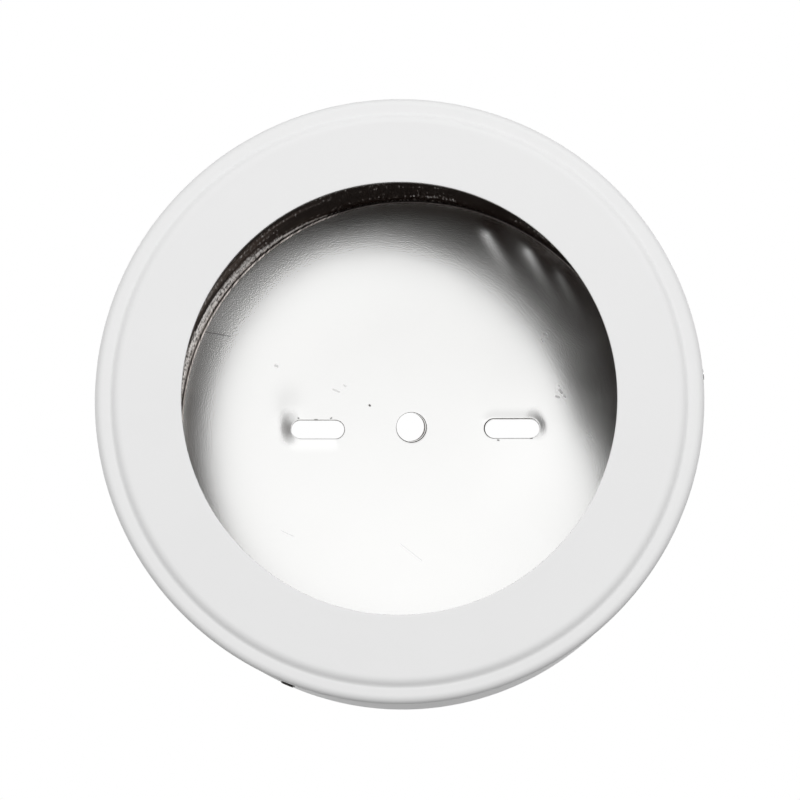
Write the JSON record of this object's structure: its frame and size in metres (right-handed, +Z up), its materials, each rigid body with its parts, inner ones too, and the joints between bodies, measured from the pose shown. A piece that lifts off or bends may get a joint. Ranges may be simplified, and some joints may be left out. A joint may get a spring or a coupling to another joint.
{
  "type": "surface-mounted downlight housing",
  "caption": "Round surface-mounted downlight housing: a white drawn cover with a lamp opening, clamped by side set screws to a bare steel base cup slotted for the ceiling.",
  "frame": {"origin": "centre of the base's cable hole, on the plane of the ceiling", "axes": "+Z up into the ceiling, so that the lamp opening faces -Z; the two ceiling slots lie along X"},
  "size_m": [0.1117, 0.11, 0.05],
  "materials": {
    "cover_paint": "satin white powder coat",
    "drawn_steel": "bare drawn sheet steel",
    "zinc_plate": "bright zinc plate",
    "black_oxide": "black oxide"
  },
  "bodies": {
    "base": {"base_cup": "drawn_steel"},
    "cover": {"cover": "cover_paint", "cover_nut_1": "zinc_plate", "cover_nut_2": "zinc_plate", "cover_nut_3": "zinc_plate"},
    "screw_1": {"set_screw_1": "black_oxide"},
    "screw_2": {"set_screw_2": "black_oxide"},
    "screw_3": {"set_screw_3": "black_oxide"}
  },
  "joints": [
    {"name": "cover_slide", "type": "slide", "parent": "base", "child": "cover", "axis": [0, 0, -1], "range_m": [0, 0.048]},
    {"name": "screw_1_back_out", "type": "slide", "parent": "cover", "child": "screw_1", "axis": [0.9914, -0.1305, 0], "range_m": [0, 0.003]},
    {"name": "screw_2_back_out", "type": "slide", "parent": "cover", "child": "screw_2", "axis": [-0.3827, 0.9239, 0], "range_m": [0, 0.003]},
    {"name": "screw_3_back_out", "type": "slide", "parent": "cover", "child": "screw_3", "axis": [-0.6088, -0.7934, 0], "range_m": [0, 0.003]}
  ]
}
